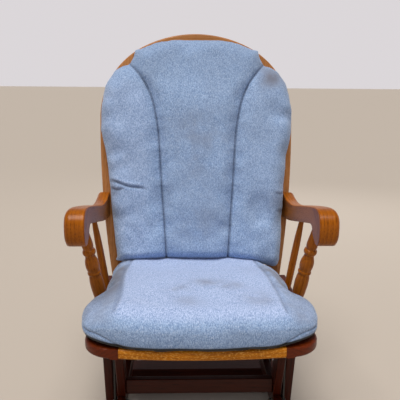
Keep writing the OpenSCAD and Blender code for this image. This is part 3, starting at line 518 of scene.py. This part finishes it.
# A pale studio, brighter towards the horizon than overhead
world = bpy.data.worlds.new("studio")
bpy.context.scene.world = world
world.use_nodes = True
tree = world.node_tree
height = tree.nodes.new("ShaderNodeSeparateXYZ")
band = tree.nodes.new("ShaderNodeMapRange")
for key, value in enumerate(GLOW_HEIGHTS + GLOW_STRENGTHS, start=1):
    band.inputs[key].default_value = value
tree.links.new(tree.nodes.new("ShaderNodeTexCoord").outputs["Generated"], height.inputs[0])
tree.links.new(height.outputs["Z"], band.inputs[0])
tree.links.new(band.outputs[0], tree.nodes["Background"].inputs["Strength"])
tree.nodes["Background"].inputs["Color"].default_value = linear("#f2edf0")
bpy.context.scene.view_settings.view_transform = "Standard"

# A matt pale floor, and how far it reaches in metres
FLOOR_REACH = 30
floor_bm = bmesh.new()
bmesh.ops.create_grid(floor_bm, x_segments=1, y_segments=1, size=FLOOR_REACH)
floor = meshed("floor", floor_bm)
pale = blank("pale_floor")
finish_with(pale, {"Base Color": linear("#aaa198"), "Roughness": 0.85})
floor.data.materials.append(pale)

# Arms: the space that the left one takes, its width at the rear, the share of its height at which it meets
# the bow, and its length to there
ARM_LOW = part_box("left_arm")[0].z
ARM_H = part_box("left_arm")[1].z - ARM_LOW
ARM_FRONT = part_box("left_arm")[0].y
ARM_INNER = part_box("left_arm")[0].x
ARM_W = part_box("left_arm")[1].x - ARM_INNER
ARM_REAR_W = 35 * MM
ARM_LAP_SHARE = 0.574
ARM_L = (BOW_DEPTH + (ARM_LOW + ARM_LAP_SHARE * ARM_H - RAIL_TOP) * math.tan(LEAN)
         - (ARM_FRONT - FRONT_Y))
# Side view: the outer and the under line, both from the bow to the scroll's tip, as shares of ARM_L and ARM_H
ARM_OUTER = [(1.1, 0.63), (1.03, 0.59), (0.92, 0.53), (0.809, 0.508), (0.646, 0.574), (0.405, 0.779),
             (0.17, 0.963), (0.071, 1.0), (0.022, 0.935), (0.0, 0.8), (-0.003, 0.62), (0.008, 0.46),
             (0.036, 0.352)]
ARM_UNDER = [(1.1, -0.005), (1.03, 0.0), (0.94, 0.005), (0.759, 0.111), (0.495, 0.344), (0.289, 0.529),
             (0.2, 0.598), (0.158, 0.55), (0.134, 0.43), (0.09, 0.345)]
# How far the arm has narrowed to its rear width, at shares of its length
ARM_NARROWING = [(0.33, 0), (0.45, 0.3), (0.56, 0.75), (0.68, 1)]
# Corners of the arm's section, counted from the inner top one over the outer side, each with its radius in
# millimetres
ARM_ROUNDS = ((1, 12), (2, 6), (0, 3), (3, 3))
ARM_STATIONS = 90
# Each arm's grain is taken this far along the board from its middle
GRAIN_SHIFT = 0.4


def side_of(node):
    """1 on the sitter's left and -1 on the right, which is the sign of X there."""
    return 1 if node.startswith("left") else -1


def even(line, count):
    """Points at even steps along a line."""
    lengths = [0.0]
    for a, b in zip(line, line[1:]):
        lengths.append(lengths[-1] + math.dist(a, b))
    points, k = [], 0
    for i in range(count):
        want = lengths[-1] * i / (count - 1)
        while k < len(line) - 2 and lengths[k + 1] < want:
            k += 1
        share = (want - lengths[k]) / (lengths[k + 1] - lengths[k])
        points.append(tuple(p + (q - p) * share for p, q in zip(line[k], line[k + 1])))
    return points


def narrowed(share):
    """How far an arm has narrowed, from 0 to 1, at a share of its length."""
    for (share_1, narrow_1), (share_2, narrow_2) in zip(ARM_NARROWING, ARM_NARROWING[1:]):
        if share_1 <= share <= share_2:
            return narrow_1 + (narrow_2 - narrow_1) * ramp(share, share_1, share_2)
    return float(share > ARM_NARROWING[-1][0])


def arm(node):
    """A scroll arm cut from a thick board, with its long edges rounded over."""
    side = side_of(node)
    outer, under = (even([(y * ARM_L, z * ARM_H) for y, z in curve(line, 10)], ARM_STATIONS)
                    for line in (ARM_OUTER, ARM_UNDER))
    bm = bmesh.new()
    rings = []
    for top, low in zip(outer, under):
        ring = []
        for (y, z), inside in ((top, True), (top, False), (low, False), (low, True)):
            outside = ARM_INNER + ARM_W - (ARM_W - ARM_REAR_W) * narrowed(y / ARM_L)
            x = ARM_INNER if inside else outside
            ring.append(bm.verts.new((side * x, ARM_FRONT + y, ARM_LOW + z)))
        rings.append(ring)
    for a, b in zip(rings, rings[1:]):
        for k in range(4):
            bm.faces.new((a[k], a[(k + 1) % 4], b[(k + 1) % 4], b[k]))
    bm.faces.new(rings[0])
    bm.faces.new(rings[-1])
    bmesh.ops.recalc_face_normals(bm, faces=bm.faces)
    for corner, radius in ARM_ROUNDS:
        line = {ring[corner] for ring in rings}
        edges = [e for e in bm.edges if all(v in line for v in e.verts)]
        bmesh.ops.bevel(bm, geom=edges, offset=radius * MM, segments=5, profile=0.5, affect="EDGES",
                        material=-1, clamp_overlap=True)
    cut = bmesh.ops.bisect_plane(bm, geom=[*bm.verts, *bm.edges, *bm.faces], plane_co=BACK.translation,
                                 plane_no=BACK.to_3x3() @ FORTH, clear_outer=True)
    bmesh.ops.contextual_create(bm, geom=[e for e in cut["geom_cut"] if isinstance(e, bmesh.types.BMEdge)])
    bmesh.ops.recalc_face_normals(bm, faces=bm.faces)
    shade(bm)
    # The grain follows the bend: along the arm's middle line, across it, and out from that line
    middle = [((y1 + y2) / 2, (z1 + z2) / 2) for (y1, z1), (y2, z2) in zip(outer, under)]
    ways = [math.dist(a, b) for a, b in zip(middle, middle[1:])]
    grain = bm.verts.layers.float_vector.new("grain")
    for vert in bm.verts:
        at = Vector((vert.co.y - ARM_FRONT, vert.co.z - ARM_LOW))
        k = min(range(ARM_STATIONS), key=lambda i: math.dist(middle[i], at))
        k = min(max(k, 1), ARM_STATIONS - 2)
        way = (Vector(middle[k + 1]) - Vector(middle[k - 1])).normalized()
        off = at - Vector(middle[k])
        vert[grain] = (sum(ways[:k]) + off.dot(way) + GRAIN_SHIFT * side, side * vert.co.x, way.cross(off))
    piece(node + "_scrolled", bm, oak("medium", None), BODY_OF[node], [node])


def turned(node, profile, material, guess):
    """A turned spindle on its CAD node's axis, found from a guess of the axis. profile gives its radius in
    millimetres at shares of its length."""
    points = [v.co.copy() for v in NODES[node].data.vertices]
    end_depth, rounds = 1.5 * MM, 3
    axis = guess.normalized()
    for _ in range(rounds):
        marks = [p.dot(axis) for p in points]
        ends = [[p for p, m in zip(points, marks) if abs(m - end) < end_depth]
                for end in (min(marks), max(marks))]
        low, high = (sum(group, Vector()) / len(group) for group in ends)
        axis = (high - low).normalized()
    bm = bmesh.new()
    aside = axis.orthogonal().normalized()
    line = [bm.verts.new(low.lerp(high, share) + aside * radius * MM) for share, radius in curve(profile, 5)]
    line = [bm.verts.new(low)] + line + [bm.verts.new(high)]
    edges = [bm.edges.new(pair) for pair in zip(line, line[1:])]
    bmesh.ops.spin(bm, geom=line + edges, cent=low, axis=axis, dvec=(0, 0, 0), angle=math.tau, steps=28,
                   use_merge=True, use_duplicate=False)
    bmesh.ops.remove_doubles(bm, verts=bm.verts, dist=MERGE)
    bmesh.ops.recalc_face_normals(bm, faces=bm.faces)
    shade(bm)
    piece(node + "_turned", bm, material, BODY_OF[node], [node])


def in_glue_joint(edge):
    """Whether an edge lies in a joint between the front rail and a side rail, which stays sharp."""
    return all(abs(abs(v.co.x) - JOINT_X) < MM for v in edge.verts)


def leaning(node, lean):
    """The axis of a post or spindle that leans outwards and forwards."""
    outwards, forwards, up = lean
    return Vector((side_of(node) * outwards, -forwards, up))


# The plain spindle under an arm swells in the middle
SPINDLE_PROFILE = [(0, 6), (0.06, 7.4), (0.16, 9.2), (0.45, 9.7), (0.7, 9.1), (0.86, 7.4), (0.95, 6.2),
                   (1, 6)]

# Radii that a router gives the boards and the rails, and none where the node has its own rounding
BOARD_EDGE, RAIL_EDGE, OWN_EDGE = 2.2 * MM, 6 * MM, 0
LEG_RAKE, POST_RAKE = math.radians(22), math.radians(14)
# Which way the arms' posts and spindles lean: outwards, forwards and up
POST_LEAN, SPINDLE_LEAN = (0.16, 0.22, 0.96), (0.13, 0.07, 0.99)

# Each wooden piece, with the grain along it
for node in NODES:
    # The base under the seat takes the darkest stain, as painted shade
    if node.endswith(("_runner", "_top_rail", "_hanger_rail")):
        eased(node, BOARD_EDGE, oak("deep_shaded", FORTH))
    elif node.endswith(("_base_stretcher", "_hanger_stretcher")) or node in ("back_rail", "seat_slats"):
        eased(node, BOARD_EDGE, oak("deep_shaded", ACROSS))
    elif node.endswith(("_base_post", "_hanger_leg")):
        rake = LEG_RAKE if node.endswith("_leg") else POST_RAKE
        way = -1 if node.startswith("front") else 1
        eased(node, BOARD_EDGE, oak("deep_shaded", Vector((0, way * math.sin(rake), math.cos(rake)))))
    # The side rails take a dark red stain, as painted shade
    elif node.endswith("_side_rail"):
        eased(node, RAIL_EDGE, oak("russet_shaded", FORTH), keep=in_glue_joint)
    elif node == "front_rail":
        eased(node, RAIL_EDGE, oak("golden", ACROSS), keep=in_glue_joint)
    elif node.endswith("_arm"):
        arm(node)
    elif node.endswith("_arm_post"):
        eased(node, OWN_EDGE, oak("medium", leaning(node, POST_LEAN)))
    elif node.endswith("_arm_spindle"):
        axis = leaning(node, SPINDLE_LEAN)
        turned(node, SPINDLE_PROFILE, oak("medium", axis), axis)
    elif node == "back_spindles":
        eased(node, OWN_EDGE, oak("medium", UP_BACK))
    # The bow takes a lighter stain, as painted light
    elif node.startswith("bow") or "_bow_" in node or node.endswith("_stile"):
        eased(node, OWN_EDGE, oak("honey_lit", UP_BACK if node != "bow_crown" else ACROSS))

METALS = {"link_steel": ENAMEL, "bearing_steel": GROUND_STEEL, "zinc_steel": ZINC, "rubber": RUBBER}
for node, obj in NODES.items():
    if SLOT_OF[node] in METALS:
        obj.data.materials.clear()
        obj.data.materials.append(METALS[SLOT_OF[node]])

# The back cushion in the frame of the back, in millimetres: x across, y up the slope, z out of the bow's
# front
BACK_PLACE = BACK @ Matrix(((MM, 0, 0, 0), (0, 0, -MM, 0), (0, MM, 0, 0), (0, 0, 0, 1)))
# Its outline, from the middle of the top. The cushion droops at its lower end on the sitter's left
TOP_EDGE = [(0, 693), (57, 692), (98, 687), (130, 678), (161, 666), (180, 661)]
FLAP_EDGE = [(180, 661), (187, 639), (193, 628), (194, 619)]
LOBE_EDGE = [(194, 619), (216, 613), (236, 600), (249, 580), (261, 560), (271, 532), (278, 486), (279, 450),
             (274, 400), (263, 350)]
LEFT_END = [(256, 285), (252, 220), (249, 175), (246, 120), (242, 70), (238, 38), (226, 27), (196, 34),
            (150, 43), (80, 49), (0, 50)]
RIGHT_END = [(254, 285), (248, 220), (245, 183), (238, 120), (230, 60), (227, 44), (120, 49), (0, 50)]
BACK_OUTLINE = outlined(*(curve(TOP_EDGE)[:-1] + curve(FLAP_EDGE)[:-1] + curve(LOBE_EDGE + end)
                          for end in (LEFT_END, RIGHT_END)))
# The seam between the middle panel and a side panel
BACK_SEAM = curve([(197, 620), (169, 585), (147, 552), (130, 513), (120, 470), (112, 420), (108, 370),
                   (104, 300), (99, 220), (92, 130), (87, 44)])
back_edges = Lines([BACK_OUTLINE + BACK_OUTLINE[:1]])
back_seams = Lines([BACK_SEAM, [(-x, y) for x, y in BACK_SEAM]])
# Folds across the back cushion, each from x1 to x2 at heights s1 to s2 with its depth
BACK_FOLDS = [(-256, -140, 275, 247, 4.5), (-252, -204, 251, 249, 3.0), (218, 256, 236, 240, 1.6),
              (222, 254, 186, 190, 1.2)]
# Stains on the two cushions, each with its place, size and strength
BACK_STAINS = [(-21, 419, 80, 0.3), (22, 333, 90, 0.3), (8, 160, 70, 0.3), (216, 578, 45, 1.0),
               (226, 210, 30, 0.4)]
SEAT_STAINS = [(-52, 150, 26, 0.8), (19, 189, 34, 0.6), (71, 168, 30, 0.7), (134, 97, 34, 0.7),
               (-27, 88, 30, 0.5)]


def stained(co, stains):
    """How stained a point of a cushion is."""
    return sum(share * math.exp(-((co.x - x) ** 2 + (co.y - y) ** 2) / size ** 2)
               for x, y, size, share in stains)


def back_thickness(x, s):
    """Thickness of the back cushion before it is inflated. It thins towards the top, rolls off to its edge
    and dips at its seams."""
    full, top_loss, lump_h, lump_l = 80, 18, 4, 130
    foot_roll, more_roll, edge_share, inner_share = 26, 26, 0.44, 0.56
    seam_dip, seam_roll = 13, 22
    edge, seam = back_edges.away(x, s), back_seams.away(x, s)
    crown = full - top_loss * ramp(s, 480, 680) + lump_h * noise.noise(Vector((x, s, 0)) / lump_l)
    roll = foot_roll + more_roll * ramp(s, 60, 200)
    crown *= edge_share + inner_share * rolled(edge, roll)
    return crown - seam_dip * (1 - rolled(seam, seam_roll)) * ramp(edge, -10, 40)


def back_held(co):
    """The back cushion's cloth is held at its rear side and at its seams."""
    rear_side = 4
    return co.z < rear_side or back_seams.away(co.x, co.y) < HELD_BESIDE


back = remeshed("back_cushion_form", BACK_OUTLINE)
# The gap between the bow and the cushion
BACK_GAP = 1
for vert in back.data.vertices:
    vert.co.z = BACK_GAP + vert.co.z / PRISM_H * back_thickness(vert.co.x, vert.co.y)
back = inflate(back, back_held, cap=12.0, pressure=4.0, rumple=0.07, sideways=0.12)


def back_detail(co, normal):
    """How far a point of the back cushion moves for its seams, puckers, lumps and folds, and its marks."""
    groove_depth, groove_w = 4, 3
    pucker_h, pucker_l, pucker_reach = 0.3, 2.6, 14
    front = ramp(normal.z, 0.0, 0.4)
    seam = back_seams.away(co.x, co.y)
    groove = -groove_depth * bell(seam, groove_w) * front
    phase = co.y / pucker_l + 3 * noise.noise(Vector((co.x, co.y, 9)) / 30)
    pucker = pucker_h * math.sin(phase) * math.exp(-seam / pucker_reach) * front
    uneven = noise.noise(co / 60) + 0.2 * noise.noise(co / 22)
    # The side panels are painted paler as painted light, more so on the sitter's right, but not at their top
    rubbed_and_lit = (0.06 if co.x > 0 else 0.25) * ramp(abs(co.x), 115, 160) * ramp(seam, 4, 25)
    rubbed_and_lit *= (1 - ramp(co.y, 520, 600)) * front
    fold, line = 0.0, 0.0
    for x1, x2, s1, s2, depth in BACK_FOLDS:
        along = (co.x - x1) / (x2 - x1)
        if 0 < along < 1:
            off = co.y - (s1 + (s2 - s1) * along + 2 * math.sin(along * 9))
            faded = min(1.0, 4 * along, 4 * (1 - along)) * front
            # A groove with a ridge above it, and painted shade as a dark line in the groove
            fold += depth * (0.5 * bell(off - 8, 5) - bell(off, 4)) * faded
            line = max(line, 0.13 * depth * bell(off, 2.5) * faded)
    # The seam lines are dark; the upper end is painted darker towards the top, as painted shade
    dark = max(1 - seam / 3.8, line, 0.14 * ramp(co.y, 540, 640)) * front
    return groove + pucker + uneven + fold, dark, rubbed_and_lit, stained(co, BACK_STAINS), 0.0


padded("back_cushion_cloth", back, BACK_PLACE, back_detail, "back_cushion")

# The seat cushion: x across, y behind the front rail's face, z above the seat frame, in millimetres. It lies
# SEAT_SHIFT off the middle, to the sitter's right
SEAT_SHIFT = -3
SEAT_PLACE = Matrix.Translation((SEAT_SHIFT * MM, FRONT_Y, RAIL_TOP)) @ Matrix.Diagonal((MM, MM, MM, 1))
SEAT_HALF = curve([
    (0, -12), (115, -5), (187, 9), (218, 20), (246, 38), (264, 64), (273, 100), (273, 140), (262, 178),
    (243, 200), (228, 214), (223, 228), (225, 242), (234, 260), (238, 285), (237, 320), (235, 345),
    (234, 360), (235, 378), (237, 420), (235, 450), (228, 474), (210, 484), (90, 486), (0, 486)])
SEAT_OUTLINE = outlined(SEAT_HALF, SEAT_HALF)
seat_edges = Lines([SEAT_OUTLINE + SEAT_OUTLINE[:1]])
# Creases between the rubbed middle and the sides, on the sitter's right and left
seat_creases = Lines([curve([(-178, 440), (-188, 395), (-193, 276), (-187, 149), (-187, 83), (-192, 40)]),
                      curve([(166, 420), (173, 358), (180, 228), (186, 119), (188, 66), (192, 40)])])
# The cushion's middle from front to rear
SEAT_MIDDLE_D = 236


def seat_height(x, d):
    """Height of the seat cushion before it is inflated. It falls to the rear and the sides, and rolls off to
    its edge."""
    full, rear_fall, side_fall, corner_fall, lump_h, lump_l = 84, 20, 22, 26, 3, 120
    front_roll, less_roll, edge_share, inner_share = 62, 26, 0.5, 0.5
    edge = seat_edges.away(x, d)
    middle = full - rear_fall * ramp(d, 180, 440) + lump_h * noise.noise(Vector((x, d, 5)) / lump_l)
    slope = side_fall * ramp(abs(x - SEAT_SHIFT), 178, 246) * ramp(d, -10, 60)
    # The rear corner on the sitter's left drops away under the back cushion
    slope += corner_fall * ramp(x, 160, 215) * ramp(d, 390, 440)
    roll = front_roll - less_roll * ramp(d, 40, 130)
    return (middle - slope) * (edge_share + inner_share * rolled(edge, roll))


def seat_low(x, d):
    """Height of the seat cushion's underside, which lifts off the rail at the front corners."""
    rest, corner_lift = 0.6, 7.4
    lift = corner_lift * ramp(abs(x), 150, 240) * (1 - ramp(d, 130, 190))
    return rest + lift * (1 - ramp(seat_edges.away(x, d), 5, 45))


def seat_held(co):
    """The seat cushion's cloth is held at its underside and at its creases."""
    underside = 3
    return co.z < seat_low(co.x, co.y) + underside or seat_creases.away(co.x, co.y) < HELD_BESIDE


seat = remeshed("seat_cushion_form", SEAT_OUTLINE)
# How far the top is raised, and the share by which the lower edge tucks in, which fades out over a height
SEAT_RAISED, TUCK, TUCK_H = 2, 0.016, 14
for vert in seat.data.vertices:
    low = seat_low(vert.co.x, vert.co.y)
    vert.co.z = low + vert.co.z / PRISM_H * (seat_height(vert.co.x, vert.co.y) + SEAT_RAISED - low)
    tuck = 1 - TUCK * (1 - ramp(vert.co.z, low, low + TUCK_H))
    vert.co.x *= tuck
    vert.co.y = SEAT_MIDDLE_D + (vert.co.y - SEAT_MIDDLE_D) * tuck
seat = inflate(seat, seat_held, cap=10.0, pressure=4.0, rumple=0.15, sideways=0.5)


def seat_detail(co, normal):
    """How far a point of the seat cushion moves for its lower seam, creases and lumps, and its marks."""
    seam_depth, seam_w, crease_depth, crease_w = 2.5, 2.5, 3, 5
    top = ramp(normal.z, 0.2, 0.7)
    crease = seat_creases.away(co.x, co.y)
    low = seat_low(co.x, co.y)
    # The seam runs low along the front and rises towards the sides
    seam_h = low + 4 + 18 * ramp(abs(co.x), 150, 235)
    seam = abs(co.z - seam_h - 1.5 * noise.noise(Vector((co.x, co.y, 3)) / 40))
    wall = 1 - ramp(abs(normal.z), 0.75, 0.95)
    wall *= 0.35 + 0.65 * ramp(abs(co.x), 120, 220)
    groove = -seam_depth * bell(seam, seam_w) * wall - crease_depth * bell(crease, crease_w) * top
    uneven = 2.2 * noise.noise(co / 70) + 0.6 * noise.noise(co / 24)
    # Painted shade: the walls darker towards the bottom
    hem_shade = 0.22 * (1 - ramp(co.z, 14, 42)) * (1 - top)
    # The seam line is dark; the creases on the top are painted darker as painted shade
    dark = max(max(0.0, 1 - seam / 3) * wall * 0.3, 0.3 * bell(crease, 6) * top, hem_shade)
    # The tops are painted paler where they face up, most in the middle between the creases: partly rubbed
    # wear, partly painted light.
    # The sides outside the creases are painted darker, more so on the sitter's left, as painted shade on the
    # slopes
    inner = ramp(abs(seat_creases.nearest(co.x, co.y).x) - abs(co.x), -13, 13)
    worn_and_lit = 0.75 * ramp(normal.z, 0.55, 0.95) * (0.4 + 0.6 * inner)
    stain = stained(co, SEAT_STAINS)
    # Painted shade: the slopes outside the creases darker, on top of the real stains
    stain += (1 - inner) * (0.45 + (1.0 if co.x > 0 else 0.6) * ramp(co.y, 110, 200))
    # The lowest band is painted near-black, a painted shadow in the gap above the rail
    return groove + uneven, dark, worn_and_lit, stain * top, 1 - ramp(co.z - low, 9, 12)


padded("seat_cushion_cloth", seat, SEAT_PLACE, seat_detail, "seat_cushion")
